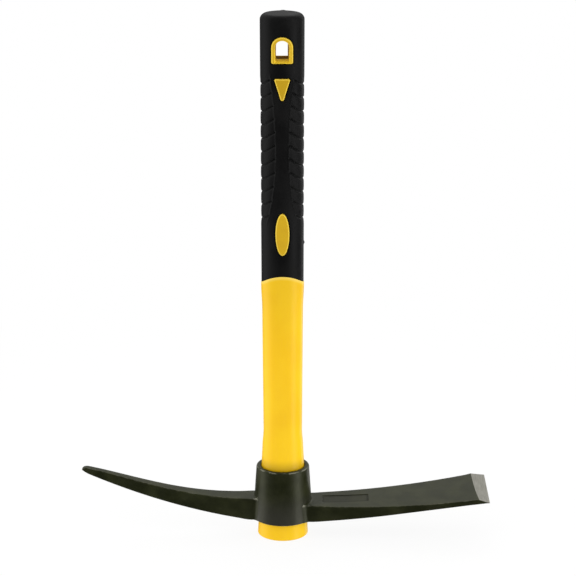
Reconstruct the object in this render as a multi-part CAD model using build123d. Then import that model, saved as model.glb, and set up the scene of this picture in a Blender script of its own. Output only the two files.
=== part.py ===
from build123d import *
import os

os.makedirs("parts", exist_ok=True)

# A small mattock whose forged head slips down over the grip and wedges on the flared foot of the handle.
# Lengths are in millimetres. While the pieces are made, heights run up the handle's axis from its foot.
# X runs from the pick to the blade, and -Y is the front. Every oval is an ellipse, wider along X than along Y.

# Handle as a whole
handle_length = 380.0        # foot to the top of the grip
oval_ratio = 0.73            # depth of every oval section along Y over its width along X

# Shaft: the yellow jacket outside the grip
foot_width = 36.2            # flared foot, which stops the head from sliding off
foot_corner = 0.9            # rounding of the foot's lower edge
taper_height = 71.0          # top of the straight taper that the head wedges on
taper_width = 28.8           # width of the shaft at the top of the taper
waist_height = 84.0          # where the shaft is narrowest
waist_width = 27.1
flare_width = 27.8           # where the shaft begins to widen towards the grip
flare_length = 20.0          # over which it widens to the lip that the grip butts against
lip_width = 29.2

# Joint between shaft and grip: an arch at the front and back, lowest at the sides
grip_side_height = 196.3     # where the arch starts
grip_arch_rise = 7.6         # how much higher the joint is in the middle
grip_arch_span = 29.6        # width of the arch, a little wider than the lip

# Tang: the part of the jacket inside the grip
tang_width = 22.0
tang_cover = 7.5             # rubber between the top of the tang and the top of the grip

# Glass-fibre core
core_diameter = 12.0
core_below_eyelet = 7.0      # gap from the top of the core up to the eyelet

# Grip
grip_width = 28.4
grip_corner = 4.0            # rounding of the top edge

# Eyelet: the arched ring in the hanging hole
eyelet_top_gap = 13.5        # from the top of the grip down to the top of the arch
eyelet_width = 13.8
eyelet_height = 17.1
eyelet_corner = 1.0
eyelet_crown = 3.0           # wall above the hole
eyelet_sill = 1.9            # wall below the hole
hole_width = 7.9
hole_throat = 9.0            # length of the straight bore, from front to back
hole_flare = 0.9             # how much the mouth widens on each side

# Inlays: they stand on the tang and rise through the grip
inlay_proud = 0.3            # how far an inlay or the eyelet stands out of the grip
inlay_gap = 0.6              # groove round an inlay
triangle_gap = 9.8           # from the eyelet down to the triangle
triangle_width = 10.4        # between the corners before they are rounded
triangle_height = 14.1
triangle_tip_width = 2.6     # width of the blunt point before it is rounded
triangle_tip_round = 1.1
triangle_corner = 0.9
oval_inlay_gap = 15.2        # from the crown of the joint up to the oval
oval_inlay_width = 9.2
oval_inlay_height = 29.4

# Fields: the sunk and grooved area on each flank of the grip, outside the smooth middle panel
field_low_gap = 6.2          # from the oval's centre up to the lower end of a field at the edge of the flank
field_high_gap = 1.1         # from the triangle's upper edge down to the upper end there
field_depth = 0.3            # how far a field lies below the smooth rubber
panel_low_width = 21.0       # width of the middle panel at the fields' lower ends
panel_waist_width = 8.2      # half way up
panel_high_width = 15.0      # at the fields' upper ends

# Grooves: slanted cuts in the fields, as many as a field has room for
groove_pitch = 9.13
groove_lead = 2.9            # from the lower end of a field up to its first groove, at the edge of the flank
groove_slope = 0.70          # rise towards the middle, per length along X
groove_width = 1.3           # measured up the handle
groove_depth = 0.5           # below the field

# Heights that follow from the sizes above
joint_crown = grip_side_height + grip_arch_rise
eyelet_high = handle_length - eyelet_top_gap
eyelet_low = eyelet_high - eyelet_height
hole_high = eyelet_high - eyelet_crown
hole_low = eyelet_low + eyelet_sill
triangle_top = eyelet_low - triangle_gap
oval_inlay_centre = joint_crown + oval_inlay_gap + oval_inlay_height / 2
field_low = oval_inlay_centre + field_low_gap
field_high = triangle_top - field_high_gap
groove_low = field_low + groove_lead
groove_count = int((field_high - groove_low) / groove_pitch) + 1

# Head: the collar and its eye
collar_low = 13.75           # height of the collar's lower rim above the foot
collar_high = 55.9           # height of its upper rim
collar_low_width = 43.0
collar_high_width = 37.5
collar_rim_round = 1.3       # rounding of the upper rim's outer edge
eye_mouth_round = 1.0        # rounding of its inner edge, where the eye opens
eye_clearance = 0.25         # gap on each side between the eye and the taper, along X

# Head: the mattock blade
blade_reach = 147.0          # from the handle's axis to the cutting edge
blade_edge_width = 40.0
root_reach = 12.0            # where both arms start to change shape, inside the collar's wall
blade_root_width = 18.2
blade_root_height = 12.85    # underside at the root
blade_side_bow = 0.3         # outward bow of each side
blade_top_height = 27.2      # top face at the root
blade_mid_reach = 80.0       # where the curve of the top face is set
blade_mid_height = 29.8
bevel_length = 8.7           # ground bevel, from its heel to the edge
bevel_heel_height = 37.75    # top face at the bevel's heel
edge_height = 35.55          # underside at the cutting edge
edge_land = 0.3              # thickness left at the cutting edge
blade_belly_reach = 85.0     # where the underside stops curving
blade_belly_height = 23.75
blade_edge_round = 0.8       # rounding along the blade's long edges
stamp_reach = 45.0           # middle of the blank sunk panel on the top face
stamp_length = 33.0
stamp_width = 9.4
stamp_depth = 0.35

# Head: the pick
pick_reach = 143.4           # from the handle's axis to the nose
pick_root_width = 13.2
pick_root_height = 12.1      # underside at the root
pick_mid_reach = 81.0        # where the middle sizes are taken
pick_mid_width = 6.8
pick_mid_height = 26.15      # underside at the middle
pick_nose_width = 3.8
pick_top_height = 31.1       # top face at the root
pick_crown_reach = 50.0      # where the curve of the top face is set
pick_crown_height = 32.1
pick_bend_reach = 99.0       # where that curve straightens towards the nose
pick_bend_height = 42.1
pick_tip_height = 54.7       # where the top meets the slanted end
pick_end_slant = 3.1         # how far the nose reaches beyond that
pick_end_drop = 3.3          # and how far below it lies
pick_nose_round = 1.3
pick_edge_round = 0.8

# Head: both arms
root_round = 1.7             # where they run into the collar
long_edge = 10.0             # an arm's edges longer than this run along it

# Room that cutting shapes have beyond what they cut
spare = 5.0


def rounded(face, point, radius):
    """The face with its corner nearest to a point rounded."""
    return fillet(face.vertices().sort_by_distance((*point, 0))[0], radius)


def oval_body(face):
    """A solid of oval section, from a face drawn outwards from the axis and upwards from the foot."""
    turned = revolve(Plane.XZ * face, Axis.Z, 360)
    return scale(turned, by=(1, oval_ratio, 1))


def through(face):
    """A prism that runs through the handle from front to back, from a face drawn in X and height."""
    return extrude(Plane.XZ.offset(-foot_width) * face, 2 * foot_width)


def ease(start, end):
    """A smooth run between two points that leaves and arrives along the handle."""
    return Spline(start, end, tangents=((0, 1), (0, 1)))


def taper_half(height):
    """Half the width of the shaft at a height on its straight taper."""
    narrowing = (foot_width - taper_width) / 2 / taper_height
    return foot_width / 2 - narrowing * height


def below_grip():
    """Everything under the arched joint between shaft and grip."""
    half = grip_arch_span / 2
    outline = Polyline((-half, grip_side_height), (-foot_width, grip_side_height), (-foot_width, -spare),
                       (foot_width, -spare), (foot_width, grip_side_height), (half, grip_side_height))
    outline += ThreePointArc((half, grip_side_height), (0, joint_crown), (-half, grip_side_height))
    return through(make_face(outline))


def shaft_body():
    """The shaft's outside from the foot up to a little above the joint with the grip."""
    top = joint_crown + spare
    foot = (foot_width / 2, 0)
    taper = (taper_width / 2, taper_height)
    waist = (waist_width / 2, waist_height)
    flare = (flare_width / 2, grip_side_height - flare_length)
    lip = (lip_width / 2, grip_side_height)
    outline = Polyline((0, top), (0, 0), foot, taper)
    outline += ease(taper, waist)
    outline += Line(waist, flare)
    outline += ease(flare, lip)
    outline += Polyline(lip, (lip[0], top), (0, top))
    return oval_body(rounded(make_face(outline), foot, foot_corner))


def tang():
    """The jacket inside the grip."""
    low = grip_side_height - spare
    high = handle_length - tang_cover
    face = Pos(tang_width / 4, (low + high) / 2) * Rectangle(tang_width / 2, high - low)
    return oval_body(face)


def grip_body(grow=0):
    """The grip's outside, its surface moved outwards at the front by a length."""
    half = grip_width / 2 + grow / oval_ratio
    low = grip_side_height - spare
    high = handle_length + grow
    face = Pos(half / 2, (low + high) / 2) * Rectangle(half, high - low)
    return oval_body(rounded(face, (half, high), grip_corner))


def arch_face(width, low, high):
    """An upright opening with a flat foot and a half-round head."""
    springing = high - width / 2
    outline = Polyline((-width / 2, springing), (-width / 2, low), (width / 2, low), (width / 2, springing))
    outline += ThreePointArc((width / 2, springing), (0, high), (-width / 2, springing))
    return make_face(outline)


def eyelet_face(grow=0):
    """The eyelet's outline, or one that lies outside it by a length."""
    half = eyelet_width / 2 + grow
    low = eyelet_low - grow
    face = arch_face(2 * half, low, eyelet_high + grow)
    face = rounded(face, (half, low), eyelet_corner + grow)
    return rounded(face, (-half, low), eyelet_corner + grow)


def triangle_face(grow=0):
    """The triangular inlay's outline, point down, or one that lies outside it by a length."""
    half = triangle_width / 2
    tip = triangle_tip_width / 2
    low = triangle_top - triangle_height
    outline = Polyline((-half, triangle_top), (-tip, low), (tip, low), (half, triangle_top), close=True)
    face = make_face(outline)
    for side in (-1, 1):
        face = rounded(face, (side * tip, low), triangle_tip_round)
        face = rounded(face, (side * half, triangle_top), triangle_corner)
    return offset(face, grow) if grow else face


def oval_face(grow=0):
    """The oval inlay's outline, or one that lies outside it by a length."""
    return Pos(0, oval_inlay_centre) * Ellipse(oval_inlay_width / 2 + grow, oval_inlay_height / 2 + grow)


def one_side(solid, side):
    """The half of a solid at the front (side -1) or at the back (side 1)."""
    box = Box(2 * foot_width, foot_width, 2 * handle_length)
    return solid & Pos(0, side * foot_width / 2, handle_length) * box


def hanging_hole():
    """The hole through the eyelet: a straight throat with a mouth that widens to the front and the back."""
    throat = arch_face(hole_width, hole_low, hole_high)
    mouth = arch_face(hole_width + 2 * hole_flare, hole_low - hole_flare, hole_high + hole_flare)
    hole = through(throat)
    for side in (-1, 1):
        inner = Plane.XZ.offset(-side * hole_throat / 2) * throat
        outer = Plane.XZ.offset(-side * (grip_width / 2 * oval_ratio + inlay_proud)) * mouth
        hole += loft([inner.face(), outer.face()])
    return hole


def field_face():
    """The sunk area on the +X flank, bounded by the middle panel and by two slanted ends."""
    edge = grip_width / 2

    def level(height, x):
        return height + groove_slope * (edge - x)

    far = grip_width
    low = (panel_low_width / 2, level(field_low, panel_low_width / 2))
    high = (panel_high_width / 2, level(field_high, panel_high_width / 2))
    waist = (panel_waist_width / 2, (field_low + field_high) / 2)
    outline = ThreePointArc(low, waist, high)
    outline += Polyline(high, (far, level(field_high, far)), (far, level(field_low, far)), low)
    return make_face(outline)


def groove_face(index):
    """One slanted groove on the +X flank, as a band from the axis outwards."""
    height = groove_low + index * groove_pitch
    inner = height + groove_slope * grip_width / 2
    outer = height - groove_slope * grip_width / 2
    half = groove_width / 2
    return make_face(Polyline((0, inner - half), (grip_width, outer - half), (grip_width, outer + half),
                              (0, inner + half), close=True))


def both_flanks(face):
    """A face drawn on the +X flank together with its mirror image."""
    return Sketch() + [face, mirror(face, about=Plane.YZ)]


def grip_cuts():
    """What the fields and the grooves take off the grip."""
    field = field_face()
    fields = through(both_flanks(field)) - grip_body(-field_depth)
    bands = Sketch() + [groove_face(index) for index in range(groove_count)]
    grooves = through(both_flanks(bands & field)) - grip_body(-field_depth - groove_depth)
    return fields, grooves


def fibreglass_core():
    """The glass-fibre rod, flush with the foot and ending below the hanging hole."""
    length = eyelet_low - core_below_eyelet
    return Pos(0, 0, length / 2) * Cylinder(core_diameter / 2, length)


def handle_jacket():
    """The yellow shaft with its flared foot and its tang."""
    jacket = shaft_body() & below_grip()
    jacket += tang()
    return jacket - fibreglass_core() - through(eyelet_face())


def grip_sleeve():
    """The rubber grip, with pockets for the eyelet and the inlays."""
    fields, grooves = grip_cuts()
    sleeve = grip_body() - below_grip() - fields - grooves
    pockets = through(eyelet_face(inlay_gap)) + through(triangle_face(inlay_gap)) + through(oval_face(inlay_gap))
    return sleeve - tang() - pockets


def hang_hole_eyelet():
    """The arched ring right through the handle, standing a little proud at the front and the back."""
    return (through(eyelet_face()) & grip_body(inlay_proud)) - hanging_hole()


def inlay(face, side):
    """An inlay on one side, from the tang out to just above the grip."""
    return one_side(through(face) & grip_body(inlay_proud) - tang(), side)


def collar():
    """The outside of the collar, drawn on below its lower rim so that the rounding at the roots is complete."""
    widening = (collar_low_width - collar_high_width) / 2 / (collar_high - collar_low)
    low = (collar_low_width / 2 + widening * spare, collar_low - spare)
    high = (collar_high_width / 2, collar_high)
    face = make_face(Polyline((0, low[1]), low, high, (0, collar_high), close=True))
    return oval_body(rounded(face, high, collar_rim_round))


def eye():
    """The tapered hole through the collar: it follows the shaft at the eye's clearance and has a rounded mouth."""
    low = collar_low - spare
    high = collar_high + spare
    start = (taper_half(low) + eye_clearance, low)
    neck = (taper_half(collar_high) + eye_clearance, collar_high - eye_mouth_round)
    mouth = (neck[0] + eye_mouth_round, collar_high)
    outline = Polyline((0, high), (0, low), start, neck)
    outline += TangentArc(neck, mouth, tangent=(0, 1))
    outline += Polyline(mouth, (mouth[0], high), (0, high))
    return oval_body(make_face(outline))


def arm(side_face, plan_face, radius):
    """An arm whose shape from the front and from above are both given, its long edges rounded."""
    solid = through(side_face) & extrude(plan_face, handle_length)
    long_edges = []
    for edge in solid.edges():
        middle = edge.center()
        if abs(middle.X) > root_reach and abs(middle.Y) > radius and edge.length > long_edge:
            if abs(edge.tangent_at(0.5).X) > abs(edge.tangent_at(0.5).Z):
                long_edges.append(edge)
    return fillet(long_edges, radius)


def blade():
    """The mattock blade before its edge is ground: it widens, thins and curves up."""
    root = (root_reach, blade_root_height)
    belly = (blade_belly_reach, blade_belly_height)
    edge = (blade_reach, edge_height)
    heel = (blade_reach - bevel_length, bevel_heel_height)
    root_top = (root_reach, blade_top_height)
    top = ThreePointArc(root_top, (blade_mid_reach, blade_mid_height), heel)
    slope = top % 1
    end = (blade_reach, bevel_heel_height + bevel_length * slope.Y / slope.X)
    run = (belly[0] - edge[0], belly[1] - edge[1])
    side = Polyline((0, blade_top_height), (0, blade_root_height), root)
    side += TangentArc(belly, root, tangent=run)
    side += Polyline(belly, edge, end, heel)
    side += top
    side += Line(root_top, (0, blade_top_height))

    root_half = blade_root_width / 2
    edge_half = blade_edge_width / 2
    middle = ((root_reach + blade_reach) / 2, (root_half + edge_half) / 2 + blade_side_bow)
    plan = Polyline((root_reach, root_half), (0, root_half), (0, -root_half), (root_reach, -root_half))
    plan += ThreePointArc((root_reach, -root_half), (middle[0], -middle[1]), (blade_reach, -edge_half))
    plan += Line((blade_reach, -edge_half), (blade_reach, edge_half))
    plan += ThreePointArc((blade_reach, edge_half), middle, (root_reach, root_half))
    return arm(make_face(side), make_face(plan), blade_edge_round)


def pick():
    """The pick: nearly square in section, curving up to a blunt nose."""
    root = (-root_reach, pick_root_height)
    nose = (-pick_reach, pick_tip_height - pick_end_drop)
    tip = (-pick_reach + pick_end_slant, pick_tip_height)
    bend = (-pick_bend_reach, pick_bend_height)
    crown = (-pick_crown_reach, pick_crown_height)
    root_top = (-root_reach, pick_top_height)
    side = Polyline((0, pick_top_height), (0, pick_root_height), root)
    side += ThreePointArc(root, (-pick_mid_reach, pick_mid_height), nose)
    side += Line(nose, tip)
    side += Spline(tip, bend, crown, root_top)
    side += Line(root_top, (0, pick_top_height))
    face = rounded(make_face(side), tip, pick_nose_round)

    root_half = pick_root_width / 2
    mid_half = pick_mid_width / 2
    nose_half = pick_nose_width / 2
    plan = Polyline((-root_reach, root_half), (0, root_half), (0, -root_half), (-root_reach, -root_half))
    plan += ThreePointArc((-root_reach, -root_half), (-pick_mid_reach, -mid_half), (-pick_reach, -nose_half))
    plan += Line((-pick_reach, -nose_half), (-pick_reach, nose_half))
    plan += ThreePointArc((-pick_reach, nose_half), (-pick_mid_reach, mid_half), (-root_reach, root_half))
    return arm(face, make_face(plan), pick_edge_round)


def bevel():
    """What the grinding of the cutting edge takes off the top of the blade."""
    heel = (blade_reach - bevel_length, bevel_heel_height)
    edge = (blade_reach, edge_height + edge_land)
    above = bevel_heel_height + spare
    return through(make_face(Polyline(heel, edge, (blade_reach + spare, edge[1]), (blade_reach + spare, above),
                                      (heel[0], above), close=True)))


def stamp_panel(blade_solid):
    """The blank sunk panel on the blade's top face, its floor parallel to that face."""
    column = extrude(Pos(stamp_reach, 0) * Rectangle(stamp_length, stamp_width), handle_length)
    return column - Pos(0, 0, -stamp_depth) * blade_solid


def forged_head():
    """Blade, collar and pick in one forging, with rounded roots and the eye cut through."""
    parts = [collar(), blade(), pick()]
    solid = parts[0] + parts[1] + parts[2]
    roots = [edge for edge in new_edges(*parts, combined=solid) if abs(edge.center().X) > root_reach]
    solid = fillet(roots, root_round)
    below = Pos(0, 0, collar_low - handle_length / 2) * Box(handle_length, handle_length, handle_length)
    return solid - below - eye() - bevel() - stamp_panel(parts[1])


def pieces():
    """Every piece of the mattock under its name."""
    return {
        "forged_head": forged_head(),
        "handle_jacket": handle_jacket(),
        "fibreglass_core": fibreglass_core(),
        "grip_sleeve": grip_sleeve(),
        "hang_hole_eyelet": hang_hole_eyelet(),
        "triangle_inlay_front": inlay(triangle_face(), -1),
        "triangle_inlay_back": inlay(triangle_face(), 1),
        "oval_inlay_front": inlay(oval_face(), -1),
        "oval_inlay_back": inlay(oval_face(), 1),
    }


for name, solid in pieces().items():
    solid.label = name
    export_step(solid, f"parts/{name}.step")
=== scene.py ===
import bpy
import bmesh
import math
import numpy as np
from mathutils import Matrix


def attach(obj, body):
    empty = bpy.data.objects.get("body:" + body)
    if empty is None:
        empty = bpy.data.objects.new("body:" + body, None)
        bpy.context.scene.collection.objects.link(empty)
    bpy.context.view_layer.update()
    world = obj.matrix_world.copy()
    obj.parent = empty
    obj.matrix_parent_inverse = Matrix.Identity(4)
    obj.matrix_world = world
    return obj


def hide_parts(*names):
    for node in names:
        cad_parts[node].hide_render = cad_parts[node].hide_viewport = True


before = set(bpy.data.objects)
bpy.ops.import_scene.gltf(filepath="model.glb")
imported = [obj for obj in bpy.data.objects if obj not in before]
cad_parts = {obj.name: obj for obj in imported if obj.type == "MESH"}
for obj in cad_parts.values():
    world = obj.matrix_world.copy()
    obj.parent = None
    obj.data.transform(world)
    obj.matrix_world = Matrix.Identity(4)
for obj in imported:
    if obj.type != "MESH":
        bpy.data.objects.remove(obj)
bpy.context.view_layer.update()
mm = 0.001                      # sizes below are in millimetres, Blender works in metres
oval = 0.73                     # depth of every oval section over its width

print("frame loaded, nodes:", len(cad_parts))


# mesh tools

# A closed or open sheet of quads: the points come as rows x columns x 3, and both directions can wrap round.
def quadsOf(rows, columns, wrapRows, wrapColumns, start):
    r = np.arange(rows if wrapRows else rows - 1)[:, None]
    c = np.arange(columns if wrapColumns else columns - 1)[None, :]
    nextRow = (r + 1) % rows
    nextColumn = (c + 1) % columns
    corners = [r * columns + c, r * columns + nextColumn, nextRow * columns + nextColumn, nextRow * columns + c]
    return np.stack([np.broadcast_to(k, (r.size, c.size)) for k in corners], -1).reshape(-1, 4) + start


# Several sheets become one mesh object; values are numbers per point that the material reads.
def surfaceObject(name, sheets, sharpAngle=35.0):
    points, faces, start = [], [], 0
    for sheet in sheets:
        grid = sheet["points"]
        rows, columns = grid.shape[:2]
        faces += quadsOf(rows, columns, sheet.get("wrapRows", False), sheet.get("wrapColumns", True), start).tolist()
        if sheet.get("capFirst"):
            faces.append((start + np.arange(columns))[::-1].tolist())
        if sheet.get("capLast"):
            faces.append((start + (rows - 1) * columns + np.arange(columns)).tolist())
        points.append(grid.reshape(-1, 3))
        start += rows * columns
    mesh = bpy.data.meshes.new(name)
    mesh.from_pydata((np.concatenate(points) * mm).tolist(), [], faces)
    for key in sorted({k for sheet in sheets for k in sheet.get("values", {})}):
        layer = mesh.attributes.new(key, "FLOAT", "POINT")
        flat = [np.broadcast_to(s.get("values", {}).get(key, 0.0), s["points"].shape[:2]).ravel() for s in sheets]
        layer.data.foreach_set("value", np.concatenate(flat).astype(np.float32))
    work = bmesh.new()
    work.from_mesh(mesh)
    bmesh.ops.remove_doubles(work, verts=work.verts, dist=0.000002)
    bmesh.ops.recalc_face_normals(work, faces=work.faces)
    work.to_mesh(mesh)
    work.free()
    mesh.shade_smooth()
    mesh.set_sharp_from_angle(angle=math.radians(sharpAngle))
    thing = bpy.data.objects.new(name, mesh)
    bpy.context.scene.collection.objects.link(thing)
    return thing


# Cuts closed shapes out of a piece and keeps the result as its mesh.
def cutOut(piece, cutters, sharpAngle=35.0):
    for cutter in cutters:
        cut = piece.modifiers.new(cutter.name, "BOOLEAN")
        cut.operation = "DIFFERENCE"
        cut.solver = "EXACT"
        cut.object = cutter
    bpy.context.view_layer.update()
    finished = bpy.data.meshes.new_from_object(piece.evaluated_get(bpy.context.evaluated_depsgraph_get()))
    piece.modifiers.clear()
    piece.data = finished
    finished.shade_smooth()
    finished.set_sharp_from_angle(angle=math.radians(sharpAngle))
    for cutter in cutters:
        bpy.data.objects.remove(cutter)


def smoothStep(low, high, x):
    t = np.clip((x - low) / (high - low), 0, 1)
    return t * t * (3 - 2 * t)


# Slow uneven swell, as on forged or moulded skin: the sum of a few sine waves at odd angles.
def swell(x, y, z, size):
    k = 2 * math.pi / size
    return (np.sin(k * (x + 0.6 * z) + 1.3) + np.sin(k * (0.8 * y - 1.1 * z) + 0.4)
            + 0.6 * np.sin(k * (1.7 * x - 0.9 * y + 0.5 * z) + 2.2)) / 2.6


# Distance from points to a closed outline, negative inside: the nearest of all its straight runs, signed by winding.
def outlineDistance(x, z, outline):
    a = outline
    b = np.roll(outline, -1, axis=0)
    run = b - a
    px = x[..., None] - a[:, 0]
    pz = z[..., None] - a[:, 1]
    t = np.clip((px * run[:, 0] + pz * run[:, 1]) / (run ** 2).sum(1), 0, 1)
    gap = np.hypot(px - t * run[:, 0], pz - t * run[:, 1]).min(-1)
    crosses = ((a[:, 1] > z[..., None]) != (b[:, 1] > z[..., None]))
    reach = a[:, 0] + (z[..., None] - a[:, 1]) / np.where(run[:, 1] == 0, 1e-9, run[:, 1]) * run[:, 0]
    inside = (crosses & (x[..., None] < reach)).sum(-1) % 2 == 1
    return np.where(inside, -gap, gap)


# An arc of a circle as points, from one angle to another in degrees.
def arcPoints(centre, radius, first, last, count):
    angle = np.radians(np.linspace(first, last, count))
    return np.stack([centre[0] + radius * np.cos(angle), centre[1] + radius * np.sin(angle)], -1)


# Points at even distances along a closed outline.
def evenOutline(outline, count):
    closed = np.vstack([outline, outline[:1]])
    length = np.concatenate([[0], np.cumsum(np.hypot(*np.diff(closed, axis=0).T))])
    where = np.linspace(0, length[-1], count, endpoint=False)
    return np.stack([np.interp(where, length, closed[:, k]) for k in (0, 1)], -1)


# Outward directions of an outline that runs anticlockwise: the run from the point before to the point after, turned.
def outlineNormals(outline):
    run = np.roll(outline, -1, axis=0) - np.roll(outline, 1, axis=0)
    turned = np.stack([run[:, 1], -run[:, 0]], -1)
    return turned / np.hypot(turned[:, 0], turned[:, 1])[:, None]


# material tools

# One shader node; each input is a value or the output of another node.
def addNode(tree, kind, inputs=None, **settings):
    node = tree.nodes.new(kind)
    for key, value in settings.items():
        setattr(node, key, value)
    for key, value in (inputs or {}).items():
        if isinstance(value, bpy.types.NodeSocket):
            tree.links.new(value, node.inputs[key])
        else:
            node.inputs[key].default_value = value
    return node


def newMaterial(name):
    material = bpy.data.materials.new(name)
    material.use_nodes = True
    tree = material.node_tree
    tree.nodes.clear()
    output = tree.nodes.new("ShaderNodeOutputMaterial")
    place = tree.nodes.new("ShaderNodeTexCoord").outputs["Object"]
    return material, tree, output, place


# Noise at a real size in millimetres, stretched along an axis by a factor.
def noiseOf(tree, place, size, detail=4.0, stretch=(1.0, 1.0, 1.0), shift=(0.0, 0.0, 0.0)):
    spread = addNode(tree, "ShaderNodeMapping", {"Vector": place, "Scale": stretch, "Location": shift})
    noise = addNode(tree, "ShaderNodeTexNoise", {"Vector": spread.outputs["Vector"], "Scale": 1.0 / (size * mm), "Detail": detail, "Roughness": 0.55})
    return noise.outputs["Fac"]


def rangeOf(tree, value, fromLow, fromHigh, toLow=0.0, toHigh=1.0):
    return addNode(tree, "ShaderNodeMapRange", {"Value": value, "From Min": fromLow, "From Max": fromHigh, "To Min": toLow, "To Max": toHigh}, interpolation_type="SMOOTHSTEP").outputs["Result"]


def mixColours(tree, amount, first, second):
    mix = tree.nodes.new("ShaderNodeMix")
    mix.data_type = "RGBA"
    for socket, value in ((mix.inputs["Factor"], amount), (mix.inputs[6], first), (mix.inputs[7], second)):
        if isinstance(value, bpy.types.NodeSocket):
            tree.links.new(value, socket)
        elif socket.type == "RGBA":
            socket.default_value = (*value[:3], 1.0)
        else:
            socket.default_value = value
    return mix.outputs[2]


def maths(tree, operation, first, second=0.0, clamp=False):
    node = addNode(tree, "ShaderNodeMath", {0: first, 1: second}, operation=operation)
    node.use_clamp = clamp
    return node.outputs[0]


def bumpOf(tree, height, distance, strength=1.0, under=None):
    inputs = {"Height": height, "Distance": distance * mm, "Strength": strength}
    if under is not None:
        inputs["Normal"] = under
    return addNode(tree, "ShaderNodeBump", inputs).outputs["Normal"]


# the head

headLook = {
    "lacquerDark": (0.0084, 0.0104, 0.0018),
    "lacquerLight": (0.0185, 0.0210, 0.0062),
    "sheen": (1.0, 1.0, 0.80, 1.0),                # the lacquer's olive sheen
    # pale worn edge colour, which also serves as a painted highlight along rims and corners
    "wornEdgeAndPaintedHighlight": (0.230, 0.225, 0.180),
    "dust": (0.032, 0.031, 0.026),                 # on the lower half of the collar
    "panelFloor": (0.0035, 0.0040, 0.0010),
    "roughSmooth": 0.33,
    "roughDull": 0.41,
    "groundSteel": (0.47, 0.46, 0.40),
    "groundDark": (0.30, 0.29, 0.25),
    "groundRough": 0.34,
}


# Dark olive lacquer over forged scale: cloudy tone, orange peel, rubbed edges that also carry a painted highlight; bare
# ground steel where the attribute says.
def lacqueredForging():
    look = headLook
    material, tree, output, place = newMaterial("lacquered_forging")
    cloud = noiseOf(tree, place, 17.0, 5.0)
    patch = noiseOf(tree, place, 5.0, 5.0, shift=(0.3, 0.1, 0.7))
    peel = noiseOf(tree, place, 0.9, 2.0)
    grit = noiseOf(tree, place, 0.28, 2.0)
    edge = addNode(tree, "ShaderNodeAttribute", attribute_name="edgeLine").outputs["Fac"]
    ground = addNode(tree, "ShaderNodeAttribute", attribute_name="groundFace").outputs["Fac"]
    sunk = addNode(tree, "ShaderNodeAttribute", attribute_name="panelFloor").outputs["Fac"]
    tone = mixColours(tree, rangeOf(tree, cloud, 0.36, 0.66), look["lacquerDark"], look["lacquerLight"])
    chips = noiseOf(tree, place, 1.9, 4.0, stretch=(0.6, 1.0, 1.0), shift=(0.6, 0.2, 0.5))
    # wear in chips along the edges, partly a painted highlight
    wearAndPaintedHighlight = maths(tree, "MULTIPLY", edge, rangeOf(tree, chips, 0.44, 0.62))
    dusty = addNode(tree, "ShaderNodeAttribute", attribute_name="dusty").outputs["Fac"]
    tone = mixColours(tree, maths(tree, "MULTIPLY", dusty, 0.70), tone, look["dust"])
    tone = mixColours(tree, maths(tree, "MULTIPLY", sunk, 0.85), tone, look["panelFloor"])
    colour = mixColours(tree, maths(tree, "MULTIPLY", wearAndPaintedHighlight, 0.75), tone, look["wornEdgeAndPaintedHighlight"])
    rough = maths(tree, "ADD", rangeOf(tree, patch, 0.35, 0.70, look["roughSmooth"], look["roughDull"]), maths(tree, "MULTIPLY", sunk, 0.30))
    lift = bumpOf(tree, cloud, 0.05, 0.4)
    skin = bumpOf(tree, peel, 0.050, 0.7, lift)
    skin = bumpOf(tree, grit, 0.016, 0.6, skin)
    lacquer = addNode(tree, "ShaderNodeBsdfPrincipled", {
        "Base Color": colour, "Roughness": rough, "Normal": skin, "IOR": 1.5, "Specular Tint": look["sheen"]})
    scratch = noiseOf(tree, place, 0.42, 3.0, stretch=(1.0, 0.05, 1.0))
    smear = noiseOf(tree, place, 6.0, 3.0)
    steelTone = mixColours(tree, rangeOf(tree, scratch, 0.30, 0.70), look["groundDark"], look["groundSteel"])
    steelTone = mixColours(tree, maths(tree, "MULTIPLY", smear, 0.35), steelTone, look["groundDark"])
    steel = addNode(tree, "ShaderNodeBsdfPrincipled", {
        "Base Color": steelTone, "Metallic": 0.85, "Roughness": look["groundRough"], "Normal": bumpOf(tree, scratch, 0.03, 0.8)})
    both = addNode(tree, "ShaderNodeMixShader", {0: ground, 1: lacquer.outputs[0], 2: steel.outputs[0]})
    tree.links.new(both.outputs[0], output.inputs["Surface"])
    return material


collarSize = {
    "low": 13.78, "high": 55.9,             # rims
    "lowHalf": 21.47, "highHalf": 18.74,    # outside, along X
    "rimRound": 1.5,
    "mouthRound": 0.9,
    "footRound": 0.7,
    "eyeLowHalf": 17.65, "eyeHighHalf": 15.5,
    "forged": 0.07,                         # depth of the uneven forged skin
}


def collarHalf(z):
    s = collarSize
    return s["lowHalf"] + (s["highHalf"] - s["lowHalf"]) * (z - s["low"]) / (s["high"] - s["low"])


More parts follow.
